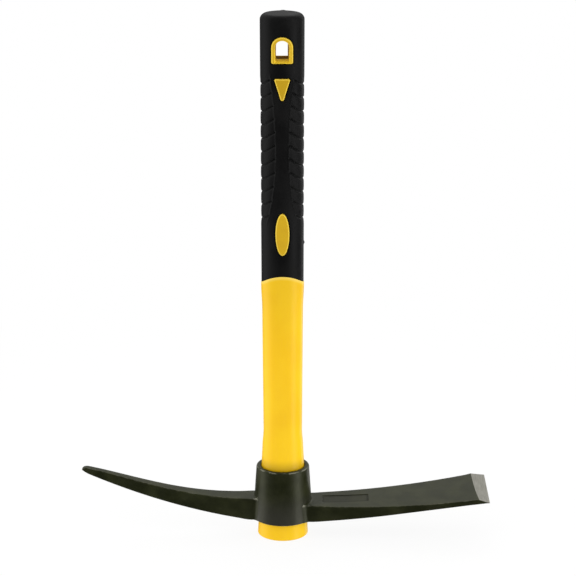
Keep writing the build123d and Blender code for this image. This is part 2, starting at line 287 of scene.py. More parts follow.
# The collar's section in half width and height is carried round an oval: x = w cos a, y = 0.73 w sin a.
def collarSheet():
    s = collarSize
    outside = np.linspace(s["low"] + s["footRound"], s["high"] - s["rimRound"], 64)
    outer = np.stack([collarHalf(outside), outside], -1)
    rim = arcPoints((s["highHalf"] - s["rimRound"], s["high"] - s["rimRound"]), s["rimRound"], 0, 90, 9)[1:]
    mouth = arcPoints((s["eyeHighHalf"] + s["mouthRound"], s["high"] - s["mouthRound"]), s["mouthRound"], 90, 180, 7)
    inside = np.linspace(s["high"] - s["mouthRound"] - 1, s["low"] + 0.5, 20)
    wide = np.interp(inside, (s["low"], s["high"]), (s["eyeLowHalf"], s["eyeHighHalf"]))
    eye = np.stack([wide, inside], -1)
    eyeFoot = arcPoints((s["eyeLowHalf"] + 0.45, s["low"] + 0.45), 0.45, 180, 270, 4)
    foot = arcPoints((s["lowHalf"] - s["footRound"], s["low"] + s["footRound"]), s["footRound"], 270, 360, 6)[:-1]
    profile = np.vstack([outer, rim, mouth, eye, eyeFoot, foot])
    angle = np.linspace(0, 2 * math.pi, 176, endpoint=False)
    half, height = profile[:, :1], profile[:, 1:]
    skin = np.zeros((len(profile), 1))
    skin[:len(outer)] = 1
    x = half * np.cos(angle)
    y = oval * half * np.sin(angle)
    z = height + 0 * angle
    press = 1 - skin * s["forged"] * (1 + swell(x, y, z, 19.0)) / 2 / half
    edge = np.zeros((len(profile), 1))
    # the rim's rows get edge wear with a painted highlight, the foot's rows a little
    edge[len(outer) + 1:len(outer) + 4] = 1
    edge[-3:] = 0.4
    dust = 1 - smoothStep(18.0, 42.0, height)
    return {"points": np.stack([x * press, y * press, z], -1), "wrapRows": True, "values": {"edgeLine": edge, "dusty": dust}}


# Columns round an arm's section: flats between the corners, and arcs at the corners.
# A column has its place on the inner rectangle (from -1 to 1 both ways) and the direction in which the corner's radius pushes it.
def sectionColumns(flatTop, flatSide):
    across, up, outY, outZ, corner = [], [], [], [], []

    def run(yRow, zRow, direction):
        across.extend(yRow)
        up.extend(zRow)
        outY.extend([direction[0]] * len(yRow))
        outZ.extend([direction[1]] * len(yRow))
        corner.extend([0.0] * len(yRow))

    def turn(sy, sz, first):
        angle = np.radians(first + np.linspace(0, 90, 7)[1:-1])
        across.extend([sy] * 5)
        up.extend([sz] * 5)
        outY.extend(np.cos(angle))
        outZ.extend(np.sin(angle))
        corner.extend([0.08, 0.2, 0.24, 0.2, 0.08])

    run(np.ones(len(flatSide)), flatSide, (1, 0))
    turn(1, 1, 0)
    run(-flatTop, np.ones(len(flatTop)), (0, 1))
    turn(-1, 1, 90)
    run(-np.ones(len(flatSide)), -flatSide, (-1, 0))
    turn(-1, -1, 180)
    run(flatTop, -np.ones(len(flatTop)), (0, -1))
    turn(1, -1, 270)
    return [np.array(k, float) for k in (across, up, outY, outZ, corner)]


# An arm: rounded sections whose half width, top and underside are functions of the reach, plus a hollow rounding
# that swings each column out onto the collar's wall. side is 1 or -1 along X.
def armSheet(size, side, reaches, halfOf, topOf, bottomOf, acrossOf, columns):
    across, up, outY, outZ, corner = columns
    blend = size["rootRound"]
    x = reaches[:, None] + 0 * across
    half, top, bottom = halfOf(x), topOf(x), bottomOf(x)
    radius = np.minimum(size["edgeRound"], 0.49 * (top - bottom))
    y = acrossOf(across, half - radius) + outY * radius
    z = (top + bottom) / 2 + up * ((top - bottom) / 2 - radius) + outZ * radius
    y = y + size["crown"] * outY * (1 - up ** 2)
    z = z + size["crown"] * np.maximum(outZ, 0) * (1 - across ** 2)

    def wall(yy, zz):
        a = collarHalf(zz)
        return a * np.sqrt(np.clip(1 - (yy / (oval * a)) ** 2, 0.02, 1))

    turns = np.radians(np.linspace(90, 0, 9))[:, None]
    rootTop, rootBottom, rootHalf = topOf(np.array(20.0)), bottomOf(np.array(20.0)), halfOf(np.array(18.0))
    r = size["edgeRound"]
    y0 = acrossOf(across, rootHalf - r) + outY * r
    z0 = (rootTop + rootBottom) / 2 + up * ((rootTop - rootBottom) / 2 - r) + outZ * r
    out = blend * (1 - np.cos(turns))
    yRoot = y0 + outY * out
    zRoot = np.maximum(z0 + outZ * out, collarSize["low"] + 0.02)
    xRoot = wall(yRoot, zRoot) + blend * (1 - np.sin(turns))
    sunk = np.stack([wall(yRoot[:1], zRoot[:1]) - 0.8, yRoot[:1], zRoot[:1]], -1)
    root = np.concatenate([sunk, np.stack([xRoot, yRoot, zRoot], -1)])
    lastRoot = root[-1]
    # the rows of the arm begin where the rounding of each column ends
    begin = lastRoot[:, 0]
    first = reaches[0]
    near = 1 - smoothStep(first, first + 14.0, x)
    x = x + near * (begin - first)
    half, top, bottom = halfOf(x), topOf(x), bottomOf(x)
    radius = np.minimum(size["edgeRound"], 0.49 * (top - bottom))
    y = acrossOf(across, half - radius) + outY * radius + size["crown"] * outY * (1 - up ** 2) * (1 - near)
    z = (top + bottom) / 2 + up * ((top - bottom) / 2 - radius) + outZ * radius
    z = z + size["crown"] * np.maximum(outZ, 0) * (1 - across ** 2) * (1 - near)
    z = np.maximum(z, collarSize["low"] + 0.02)
    grid = np.stack([x, y, z], -1)
    fold = near[..., None] ** 3
    grid = grid * (1 - fold) + (fold * np.stack([x, 0 * x + lastRoot[:, 1], 0 * x + lastRoot[:, 2]], -1))
    grid = np.concatenate([root, grid[1:]])
    grid[..., 0] *= side
    # rubbed lightly along the corners, and worn spots with a painted highlight on the top corners of the root
    edge = np.broadcast_to(corner, grid.shape[:2]).copy()
    edge[2:10] += 5.0 * corner * (outZ > 0)
    return grid, edge


bladeSize = {
    "rootRound": 1.7, "edgeRound": 0.55, "crown": 0.10,
    "stations": 92,
    "edgeHalf": 19.8, "rootHalf": 9.1, "bow": 0.3,
    "heel": 137.9, "edge": 146.75,
    "askew": 0.052, "heelBow": 0.8, "edgeAskew": 0.012, "edgeTwist": 0.014,     # the hand-ground bevel isn't square
    "heelHeight": 37.75, "edgeHeight": 35.6, "land": 0.35,
    "stampLow": 28.5, "stampHigh": 61.5, "stampFront": -4.5, "stampBack": 5.0, "stampDepth": 0.34,
}
pickSize = {
    "rootRound": 1.7, "edgeRound": 0.55, "crown": 0.06,
    "stations": 84,
    "rootHalf": 6.6, "midHalf": 3.4, "noseHalf": 1.95,
    "closing": 138.4, "nose": 143.35, "noseHeight": 51.5,
}


# Height of a curve through a few named places: the parabola or cubic that runs through them all.
def curveThrough(places):
    places = np.array(places, float)
    return np.poly1d(np.polyfit(places[:, 0], places[:, 1], len(places) - 1))


# The blade widens along a shallow bow, its top and underside are parabolas, and past the heel the top falls to the edge.
def bladeSheet():
    s = bladeSize
    width = curveThrough([(12, s["rootHalf"]), (79.5, (s["rootHalf"] + s["edgeHalf"]) / 2 + s["bow"]), (147, s["edgeHalf"])])
    topCurve = curveThrough([(12, 27.2), (80, 29.8), (s["heel"], s["heelHeight"])])
    underCurve = curveThrough([(12, 12.85), (48, 17.35), (85, 23.75)])

    def under(x):
        tail = 23.75 + (s["edgeHeight"] - 23.75) * (x - 85) / (147 - 85)
        return np.where(x < 85, underCurve(x), tail)

    def top(x):
        fall = (x - s["heel"]) / (s["edge"] - s["heel"])
        ground = s["heelHeight"] + (s["edgeHeight"] + s["land"] - s["heelHeight"]) * fall
        return np.where(x < s["heel"], topCurve(x), ground)

    # the middle half of the columns keeps to the panel's two long sides, the rest spreads out to the blade's sides
    def across(c, inner):
        panel = np.interp(c, (-0.5, 0.5), (s["stampFront"], s["stampBack"]))
        beyond = np.clip(np.abs(c) * 2 - 1, 0, 1)
        return panel + beyond * np.where(c > 0, inner - s["stampBack"], -inner - s["stampFront"])

    step = 0.012
    flatTop = np.sort(np.concatenate([np.linspace(-0.97, -0.55, 7), np.linspace(-0.45, 0.45, 9), np.linspace(0.55, 0.97, 7),
                                      [-0.5 - step, -0.5 + step, 0.5 - step, 0.5 + step]]))
    flatSide = np.linspace(-0.9, 0.9, 5)
    columns = sectionColumns(flatTop, flatSide)
    body = np.linspace(23.0, s["heel"], s["stations"])
    walls = np.array([s["stampLow"] - 0.12, s["stampLow"] + 0.12, s["stampHigh"] - 0.12, s["stampHigh"] + 0.12])
    body = np.sort(np.concatenate([body[np.abs(body[:, None] - walls).min(1) > 0.4], walls]))
    ground = np.linspace(s["heel"], s["edge"], 9)[1:]
    reaches = np.concatenate([body, [s["heel"] + 0.12], ground])
    grid, edge = armSheet(s, 1, reaches, width, top, under, across, columns)
    x, y = grid[..., 0].copy(), grid[..., 1]
    past = smoothStep(s["heel"], s["edge"], x)
    slide = smoothStep(s["heel"] - 6, s["heel"], x) * (1 - past)
    bow = 1 - np.clip(np.where(y < -5, (y + 5) / 15, (y + 5) / 25), -1, 1) ** 2
    grid[..., 0] = x - slide * (s["askew"] * y + s["heelBow"] * bow) - past * s["edgeAskew"] * np.abs(y - 20)
    grid[..., 2] += past * s["edgeTwist"] * y
    onTop = columns[3] > 0.99
    panel = (x > s["stampLow"]) & (x < s["stampHigh"]) & (y > s["stampFront"]) & (y < s["stampBack"]) & onTop
    grid[..., 2] -= panel * s["stampDepth"]
    border = (x < s["stampLow"] + 1.0) | (x > s["stampHigh"] - 1.0) | (y < s["stampFront"] + 0.9) | (y > s["stampBack"] - 0.9)
    panelTone = panel * np.where(border, 1.0, 0.5)
    ground = ((x > s["heel"] + 0.05) & (columns[3] > 0.3)).astype(float)
    edge = edge * (1 - ground)
    return {"points": grid, "capFirst": True, "capLast": True,
            "values": {"edgeLine": edge, "groundFace": ground, "panelFloor": panelTone}}


# The pick narrows on a curve, sweeps up, and its last rows close in a quarter round to the nose.
def pickSheet():
    s = pickSize
    width = curveThrough([(12, s["rootHalf"]), (81, s["midHalf"]), (143.4, s["noseHalf"])])
    topCurve = curveThrough([(12, 31.1), (50, 32.15), (99, 42.25), (122, 49.0), (140.3, 53.8)])
    underCurve = curveThrough([(12, 12.1), (81, 26.15), (143.4, 51.0)])

    def closing(x):
        return np.sqrt(np.clip(1 - (np.maximum(x - s["closing"], 0) / (s["nose"] - s["closing"])) ** 2, 0, 1))

    def top(x):
        return s["noseHeight"] + (topCurve(x) - s["noseHeight"]) * np.where(x < s["closing"], 1, closing(x)) + 0.04

    def under(x):
        return s["noseHeight"] + (underCurve(x) - s["noseHeight"]) * np.where(x < s["closing"], 1, closing(x))

    def half(x):
        return width(x) * (0.35 + 0.65 * closing(x))

    def across(c, inner):
        return c * inner

    columns = sectionColumns(np.linspace(-0.9, 0.9, 9), np.linspace(-0.9, 0.9, 9))
    body = np.linspace(23.0, s["closing"] - 0.3, s["stations"])
    tip = s["closing"] + (s["nose"] - s["closing"]) * np.sin(np.radians(np.linspace(0, 89, 14)))
    grid, edge = armSheet(s, -1, np.concatenate([body, tip]), half, top, under, across, columns)
    return {"points": grid, "capFirst": True, "capLast": True, "values": {"edgeLine": edge}}


def makeHead():
    head = surfaceObject("mattock_head", [collarSheet(), bladeSheet(), pickSheet()], 22.0)
    head.data.materials.append(lacqueredForging())
    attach(head, "head")
    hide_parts("forged_head")
    print("head made")
    return head


# the yellow shaft

shaftSize = {
    "footHalf": 18.05, "footRound": 0.9,
    "taperTop": 71.0, "taperHalf": 14.4,
    "waist": 84.0, "waistHalf": 13.55,
    "flare": 176.3, "flareHalf": 13.9,
    "lipHalf": 14.58,
    "side": 196.3, "rise": 7.6, "span": 29.6,      # the arched joint with the grip
    "lipRound": 0.7,
    "tangHalf": 10.98, "tangTop": 346.0,
    "boreHalf": 6.0, "boreTop": 341.8,
}
shaftLook = {
    "yellow": (0.960, 0.590, 0.0060),
    "deep": (0.925, 0.540, 0.0050),
    "scuff": (0.820, 0.510, 0.030),
    "scuffsAndPaintedShade": (0.520, 0.310, 0.0035),              # painted shade just above the head's rim and growing towards the grip's joint
    # painted highlight along the rounded lip under the grip's joint
    "lip": (1.000, 0.760, 0.160),
    "rough": (0.28, 0.34),
}


# Height of the joint over a point across the handle: an arc of a circle through the two ends and the crown.
def jointHeight(x):
    s = shaftSize
    halfSpan = s["span"] / 2
    radius = (halfSpan ** 2 + s["rise"] ** 2) / (2 * s["rise"])
    arch = s["side"] + s["rise"] - radius + np.sqrt(np.maximum(radius ** 2 - x ** 2, 0))
    return np.where(np.abs(x) < halfSpan, arch, s["side"])


def yellowPlastic():
    look = shaftLook
    material, tree, output, place = newMaterial("yellow_moulding")
    flow = noiseOf(tree, place, 7.0, 3.0, stretch=(1.0, 1.0, 0.12))
    cloud = noiseOf(tree, place, 30.0, 3.0, shift=(0.2, 0.6, 0.1))
    specks = noiseOf(tree, place, 0.8, 2.0)
    scuffsAndPaintedShade = noiseOf(tree, place, 3.2, 6.0, stretch=(1.0, 1.0, 0.35), shift=(0.9, 0.2, 0.4))
    colour = mixColours(tree, rangeOf(tree, cloud, 0.35, 0.68), look["yellow"], look["deep"])
    colour = mixColours(tree, maths(tree, "MULTIPLY", rangeOf(tree, scuffsAndPaintedShade, 0.62, 0.80), 0.30), colour, look["scuff"])
    # painted highlight along the lip's rounded edge
    lip = addNode(tree, "ShaderNodeAttribute", attribute_name="lipLine").outputs["Fac"]
    colour = mixColours(tree, maths(tree, "MULTIPLY", lip, 0.75), colour, look["lip"])
    height = addNode(tree, "ShaderNodeSeparateXYZ", {"Vector": place}).outputs["Z"]
    # painted shade: a darker band just above the head's rim, and a darkening that grows towards the grip's joint
    ring = maths(tree, "MULTIPLY", rangeOf(tree, height, 0.0655, 0.0555, 0.0, 0.85), rangeOf(tree, height, 0.012, 0.052))
    under = rangeOf(tree, height, 0.130, 0.205, 0.0, 0.28)
    colour = mixColours(tree, maths(tree, "MAXIMUM", ring, under), colour, look["scuffsAndPaintedShade"])
    rough = rangeOf(tree, flow, 0.30, 0.70, *look["rough"])
    skin = bumpOf(tree, flow, 0.03, 0.35)
    skin = bumpOf(tree, specks, 0.010, 0.5, skin)
    shader = addNode(tree, "ShaderNodeBsdfPrincipled", {"Base Color": colour, "Roughness": rough, "Normal": skin, "IOR": 1.42})
    tree.links.new(shader.outputs[0], output.inputs["Surface"])
    return material


# The shaft's profile in half width and height is carried round the oval; the rows near the joint are lifted
# so that they end on the joint's arch, roll over a rounded lip, and run in to the tang.
def makeShaft():
    s = shaftSize
    angle = np.linspace(0, 2 * math.pi, 192, endpoint=False)
    foot = arcPoints((s["footHalf"] - s["footRound"], s["footRound"]), s["footRound"], -90, 0, 8)
    taper = np.stack([np.linspace(foot[-1, 0], s["taperHalf"], 26), np.linspace(foot[-1, 1], s["taperTop"], 26)], -1)[1:]
    t = np.linspace(0, 1, 12)[1:]
    ease = t * t * (3 - 2 * t)
    waist = np.stack([s["taperHalf"] + (s["waistHalf"] - s["taperHalf"]) * ease, s["taperTop"] + (s["waist"] - s["taperTop"]) * t], -1)
    stem = np.stack([np.linspace(s["waistHalf"], s["flareHalf"], 34), np.linspace(s["waist"], s["flare"], 34)], -1)[1:]
    lip = np.stack([s["flareHalf"] + (s["lipHalf"] - s["flareHalf"]) * ease, s["flare"] + (s["side"] - s["flare"]) * t], -1)
    outer = np.vstack([foot, taper, waist, stem, lip])
    half = outer[:, :1] + 0 * angle
    z = outer[:, 1:] + 0 * angle
    joint = jointHeight(s["lipHalf"] * np.cos(angle))
    lift = smoothStep(s["flare"] - 6, s["side"], z)
    z = z + lift * (joint - s["side"] - s["lipRound"])
    roll = np.radians(np.linspace(0, 90, 6))[1:, None]
    rollHalf = s["lipHalf"] - s["lipRound"] * (1 - np.cos(roll)) + 0 * angle
    rollHeight = jointHeight(rollHalf * np.cos(angle)) - s["lipRound"] * (1 - np.sin(roll))
    shoulder = np.linspace(s["lipHalf"] - s["lipRound"], s["tangHalf"], 5)[1:, None] + 0 * angle
    shoulderHeight = jointHeight(shoulder * np.cos(angle))
    tangHeight = np.linspace(0, 1, 8)[1:, None] * (s["tangTop"] - shoulderHeight[-1]) + shoulderHeight[-1]
    tang = s["tangHalf"] + 0 * tangHeight
    x = np.concatenate([half, rollHalf, shoulder, tang]) * np.cos(angle)
    y = oval * np.concatenate([half, rollHalf, shoulder, tang]) * np.sin(angle)
    z = np.concatenate([z, rollHeight, shoulderHeight, tangHeight])
    bore = [(0.0, s["tangTop"]), (0.0, s["boreTop"]), (s["boreHalf"], s["boreTop"]), (s["boreHalf"], 170.0), (s["boreHalf"], 0.0)]
    ringX = [r * np.cos(angle) for r, _ in bore]
    ringY = [r * np.sin(angle) for r, _ in bore]
    ringZ = [h + 0 * angle for _, h in bore]
    x, y, z = np.vstack([x, ringX]), np.vstack([y, ringY]), np.vstack([z, ringZ])
    # the rows over the lip's roll carry the painted highlight
    lip = np.zeros((len(x), 1))
    lip[len(outer) - 1:len(outer) + 4] = 1
    shaft = surfaceObject("yellow_shaft", [{"points": np.stack([x, y, z], -1), "wrapRows": True, "values": {"lipLine": lip}}])
    shaft.data.materials.append(yellowPlastic())
    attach(shaft, "handle")
    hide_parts("handle_jacket")
    print("shaft made")
    return shaft


coreLook = {"resin": (0.62, 0.53, 0.30), "glass": (0.80, 0.74, 0.52), "rough": 0.62}


# The end of a pulled rod: pale fibre ends packed in resin, drawn out along the rod.
def glassFibreRod():
    material, tree, output, place = newMaterial("glass_fibre_rod")
    fibres = addNode(tree, "ShaderNodeTexVoronoi", {
        "Vector": addNode(tree, "ShaderNodeMapping", {"Vector": place, "Scale": (1, 1, 0.02)}).outputs[0], "Scale": 1400.0})
    cloud = noiseOf(tree, place, 2.4, 3.0)
    colour = mixColours(tree, rangeOf(tree, fibres.outputs["Distance"], 0.10, 0.60), coreLook["glass"], coreLook["resin"])
    colour = mixColours(tree, maths(tree, "MULTIPLY", cloud, 0.4), colour, coreLook["resin"])
    shader = addNode(tree, "ShaderNodeBsdfPrincipled", {
        "Base Color": colour, "Roughness": coreLook["rough"], "Normal": bumpOf(tree, fibres.outputs["Distance"], 0.05, 0.6)})
    tree.links.new(shader.outputs[0], output.inputs["Surface"])
    return material


# outlines of what is let into the grip, in X and height, all anticlockwise

eyeletSize = {
    "half": 6.9, "low": 349.4, "high": 366.5, "corner": 1.0,
    "holeHalf": 3.95, "holeLow": 351.3, "holeHigh": 363.5,
    "throat": 4.0, "flare": 0.9, "sillFlare": 1.45, "lean": 0.4,
    "proud": 0.28, "rim": 0.45,
}
triangleSize = {"half": 4.95, "top": 339.6, "low": 325.5, "tipHalf": 1.2, "tipRound": 0.95, "corner": 0.9}
ovalInlaySize = {"half": 4.6, "high": 14.7, "centre": 233.8}
inlaySize = {"proud": 0.28, "rim": 0.75, "gap": 0.6, "floor": 7.9}


def archOutline(half, low, high, corner, count=44):
    spring = high - half
    right = arcPoints((half - corner, low + corner), corner, -90, 0, 7)
    crown = arcPoints((0, spring), half, 0, 180, count)
    left = arcPoints((-half + corner, low + corner), corner, 180, 270, 7)
    return np.vstack([right, crown, left])


def triangleOutline():
    s = triangleSize
    lean = math.degrees(math.atan2(s["half"] - s["tipHalf"], s["top"] - s["low"]))
    tip = arcPoints((0, s["low"] + s["tipRound"] + 0.15), s["tipRound"] + 0.25, -162 + lean, -18 - lean, 9)
    right = arcPoints((s["half"] - s["corner"], s["top"] - s["corner"]), s["corner"], -lean, 90, 8)
    left = arcPoints((-s["half"] + s["corner"], s["top"] - s["corner"]), s["corner"], 90, 180 + lean, 8)
    return np.vstack([tip, right, left])


def ovalOutline():
    s = ovalInlaySize
    angle = np.linspace(0, 2 * math.pi, 96, endpoint=False)
    return np.stack([s["half"] * np.cos(angle), s["centre"] + s["high"] * np.sin(angle)], -1)


# the grip

gripSize = {
    "half": 14.2, "low": 196.3, "top": 380.0, "corner": 4.0,
    "fieldLow": 240.0, "fieldHigh": 338.5, "fieldDepth": 0.30,
    "panelLow": 10.5, "panelWaist": 4.1, "panelHigh": 7.5,
    "pitch": 9.13, "firstGroove": 242.9, "slope": 0.70,
    "grooveHalf": 1.1, "grooveDepth": 0.72, "bulge": 0.20,
    "ridge": 0.28, "ridgeHalf": 0.50,
    "softEdge": 1.0, "dip": 0.22,
    "partingHalf": 0.22, "parting": 0.07,
    "flash": 225.3,                                # height of the nub of flash on the +X side
    "nub": 1.2, "nubRise": 0.8,                    # moulding nub at the back of the top
}
gripLook = {
    "black": (0.0034, 0.0034, 0.0035),
    "grey": (0.0062, 0.0061, 0.0060),
    "dust": (0.030, 0.029, 0.027),
    "rough": (0.42, 0.56),
}


def blackRubber():
    look = gripLook
    material, tree, output, place = newMaterial("black_rubber")
    cloud = noiseOf(tree, place, 22.0, 4.0, shift=(0.5, 0.3, 0.8))
    fine = noiseOf(tree, place, 0.45, 3.0)
    specks = noiseOf(tree, place, 1.3, 6.0, shift=(0.1, 0.9, 0.2))
    colour = mixColours(tree, rangeOf(tree, cloud, 0.34, 0.68), look["black"], look["grey"])
    colour = mixColours(tree, maths(tree, "MULTIPLY", rangeOf(tree, specks, 0.66, 0.82), 0.22), colour, look["dust"])
    rough = rangeOf(tree, cloud, 0.30, 0.70, *look["rough"])
    skin = bumpOf(tree, fine, 0.022, 0.55)
    shader = addNode(tree, "ShaderNodeBsdfPrincipled", {"Base Color": colour, "Roughness": rough, "Normal": skin, "IOR": 1.26})
    tree.links.new(shader.outputs[0], output.inputs["Surface"])
    return material


# How far the grip's skin lies below or above the plain oval, from the place across and up the handle:
# a sunk field on each flank, slanted grooves with swelling lands between them, a bead along the panel's border,
# and a soft dip round each yellow inlay.
def gripRelief(x, z, outlines):
    s = gripSize
    side = np.abs(x)
    middle = (s["fieldLow"] + s["fieldHigh"]) / 2
    span = (s["fieldHigh"] - s["fieldLow"]) / 2
    t = (z - middle) / span
    end = np.where(t < 0, s["panelLow"], s["panelHigh"])
    border = s["panelWaist"] + (end - s["panelWaist"]) * np.abs(t) ** 2.1
    slant = s["slope"] * (s["half"] - side)
    low = s["fieldLow"] + slant
    high = s["fieldHigh"] + slant
    within = smoothStep(-0.5, 0.7, side - border) * smoothStep(-1.2, 1.2, z - low) * (1 - smoothStep(-1.2, 1.2, z - high))
    line = (z - slant - s["firstGroove"]) / s["pitch"]
    line = np.where(line > 10.4, 10.5, line)
    off = np.abs(line - np.round(line)) * s["pitch"]
    deep = 1 - smoothStep(0.0, s["grooveHalf"], off)
    swellUp = 1 - (2 * np.abs(line - np.floor(line) - 0.5)) ** 2
    relief = -within * (s["fieldDepth"] + s["grooveDepth"] * deep - s["bulge"] * swellUp * 1.0)
    beadEnds = smoothStep(-6, 4, z - low) * (1 - smoothStep(-6, 2, z - high))
    relief = relief + s["ridge"] * np.exp(-((side - border) / s["ridgeHalf"]) ** 2) * beadEnds
    for outline in outlines:
        d = outlineDistance(x, z, outline)
        relief = relief - s["dip"] * (1 - smoothStep(0.0, s["softEdge"], d))
    return relief


# The grip's skin: for each height a half width, for each angle a place on the oval, moved along the oval's
# normal by the relief. It is closed over the top, and by a flat ring on the shaft's shoulder below.
def makeGrip():
    s = gripSize
    angle = np.linspace(0, 2 * math.pi, 208, endpoint=False)
    warped = angle - 0.10 * np.sin(2 * angle)
    heights = np.concatenate([np.linspace(0, 1, 26)[:-1] * (236.0 - s["low"]) + s["low"],
                              np.linspace(236.0, 352.0, 262), np.linspace(352.0, s["top"] - s["corner"], 30)[1:]])
    half = np.full(len(heights), s["half"])
    corner = arcPoints((s["half"] - s["corner"], s["top"] - s["corner"]), s["corner"], 0, 90, 14)[1:]
    half = np.concatenate([half, corner[:, 0], np.linspace(corner[-1, 0], 0, 9)[1:]])
    heights = np.concatenate([heights, corner[:, 1], np.full(8, s["top"])])
    x = half[:, None] * np.cos(warped)
    y = oval * half[:, None] * np.sin(warped)
    z = heights[:, None] + 0 * warped
    joint = jointHeight(x)
    lift = 1 - smoothStep(s["low"], 236.0, z)
    z = z + lift * (joint - s["low"])
    nx, ny = np.cos(warped) * oval, np.sin(warped)
    size = np.hypot(nx, ny)
    outlines = [ovalOutline(), evenOutline(triangleOutline(), 60), archOutline(6.9, 349.4, 366.5, 1.0, 24)]
    relief = gripRelief(x, z, outlines) * (z < s["top"] - s["corner"] - 1)
    seam = s["parting"] * np.exp(-(y / s["partingHalf"]) ** 2) * (z < s["top"] - 2)
    flash = 0.8 * np.exp(-((z - s["flash"]) / 0.55) ** 2 - (y / 0.5) ** 2) * (x > 0)
    x = x + (relief + seam + flash) * nx / size
    y = y + (relief + seam + flash) * ny / size
    nub = np.exp(-(np.hypot(x - 0.6, y - 7.9) / s["nub"]) ** 4) * (z > s["top"] - 4)
    y = y + nub * s["nubRise"] * 0.4
    z = np.minimum(z + nub * s["nubRise"], s["top"])
    skin = np.stack([x, y, z], -1)

    # under the skin the grip runs in on the shaft's shoulder, up the tang, and closes over it
    def innerRow(half, height):
        return np.stack([half * np.cos(warped), oval * half * np.sin(warped), height + 0 * warped], -1)

    inner = [innerRow(0.0, 372.0), innerRow(11.0, 372.0), innerRow(11.0, 345.0), innerRow(11.0, 250.0)]
    inner += [innerRow(half, jointHeight(half * np.cos(warped)) + 0.02) for half in (11.4, 13.2)]
    grid = np.concatenate([np.stack(inner), skin])
    grip = surfaceObject("rubber_grip", [{"points": grid}], 40.0)
    cutters = [prism("oval_pocket", grown(ovalOutline(), inlaySize["gap"]), inlaySize["floor"], side) for side in (-1, 1)]
    cutters += [prism("triangle_pocket", grown(evenOutline(triangleOutline(), 60), inlaySize["gap"]), inlaySize["floor"], side) for side in (-1, 1)]
    arch = archOutline(6.9, 349.4, 366.5, 1.0, 24)
    cutters += [prism("eyelet_groove", grown(arch, inlaySize["gap"]), inlaySize["floor"], side) for side in (-1, 1)]
    cutters.append(prism("eyelet_bore", grown(arch, -0.3), -20.0, 1))
    cutOut(grip, cutters, 40.0)
    grip.data.materials.clear()
    grip.data.materials.append(blackRubber())
    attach(grip, "handle")
    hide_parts("grip_sleeve")
    print("grip made, faces:", len(grip.data.polygons))
    return grip


def grown(outline, gap):
    return outline + outlineNormals(outline) * gap


# A straight prism from an outline: from a depth inside the handle out past its skin, at the front or the back.
def prism(name, outline, inner, side):
    near = np.column_stack([outline[:, 0], np.full(len(outline), inner * side), outline[:, 1]])
    far = np.column_stack([outline[:, 0], np.full(len(outline), 20.0 * side), outline[:, 1]])
    return surfaceObject(name, [{"points": np.stack([near, far]), "capFirst": True, "capLast": True}])


# the yellow inlays and the eyelet

inlayLook = {
    "mustard": (0.610, 0.375, 0.0060),
    "deep": (0.575, 0.345, 0.0050),
    "paintedShade": (0.440, 0.270, 0.0010),                # painted shade: the triangles are drawn darker than the ovals
    "throat": (0.230, 0.120, 0.0020),              # painted shade in the bore of the hanging hole
    # painted light on the lower slope of the hanging hole's mouth
    "paintedSillLight": (0.860, 0.610, 0.0280),
    "rim": (0.850, 0.600, 0.0580),
    "rough": (0.42, 0.56),
}


def mustardPlastic():
    look = inlayLook
    material, tree, output, place = newMaterial("mustard_inlay")
    cloud = noiseOf(tree, place, 8.0, 4.0, shift=(0.7, 0.1, 0.3))
    fine = noiseOf(tree, place, 0.5, 3.0)
    rim = addNode(tree, "ShaderNodeAttribute", attribute_name="rimLine").outputs["Fac"]
    colour = mixColours(tree, rangeOf(tree, cloud, 0.34, 0.68), look["mustard"], look["deep"])
    # painted shade on the triangles
    paintedShade = addNode(tree, "ShaderNodeAttribute", attribute_name="dullTone").outputs["Fac"]
    colour = mixColours(tree, paintedShade, colour, look["paintedShade"])
    pale = maths(tree, "MULTIPLY", rim, rangeOf(tree, fine, 0.20, 0.60, 0.55, 1.0))
    colour = mixColours(tree, pale, colour, look["rim"])
    # painted light on the hole's lower slope
    paintedSillLight = addNode(tree, "ShaderNodeAttribute", attribute_name="sillSlope").outputs["Fac"]
    # painted shade in the hole's bore, which is also rougher with less sheen
    throat = addNode(tree, "ShaderNodeAttribute", attribute_name="throatBore").outputs["Fac"]
    colour = mixColours(tree, paintedSillLight, colour, look["paintedSillLight"])
    colour = mixColours(tree, throat, colour, look["throat"])
    rough = maths(tree, "ADD", rangeOf(tree, cloud, 0.30, 0.70, *look["rough"]), maths(tree, "MULTIPLY", throat, 0.4))
    shader = addNode(tree, "ShaderNodeBsdfPrincipled", {
        "Base Color": colour, "Roughness": rough, "Normal": bumpOf(tree, fine, 0.02, 0.5), "IOR": 1.34,
        "Specular IOR Level": rangeOf(tree, throat, 0.0, 1.0, 0.5, 0.1)})
    tree.links.new(shader.outputs[0], output.inputs["Surface"])
    return material


# Depth of the grip's plain oval in front of the middle plane, over a point across the handle.
def skinDepth(x):
    return oval * np.sqrt(np.maximum(gripSize["half"] ** 2 - x ** 2, 0))


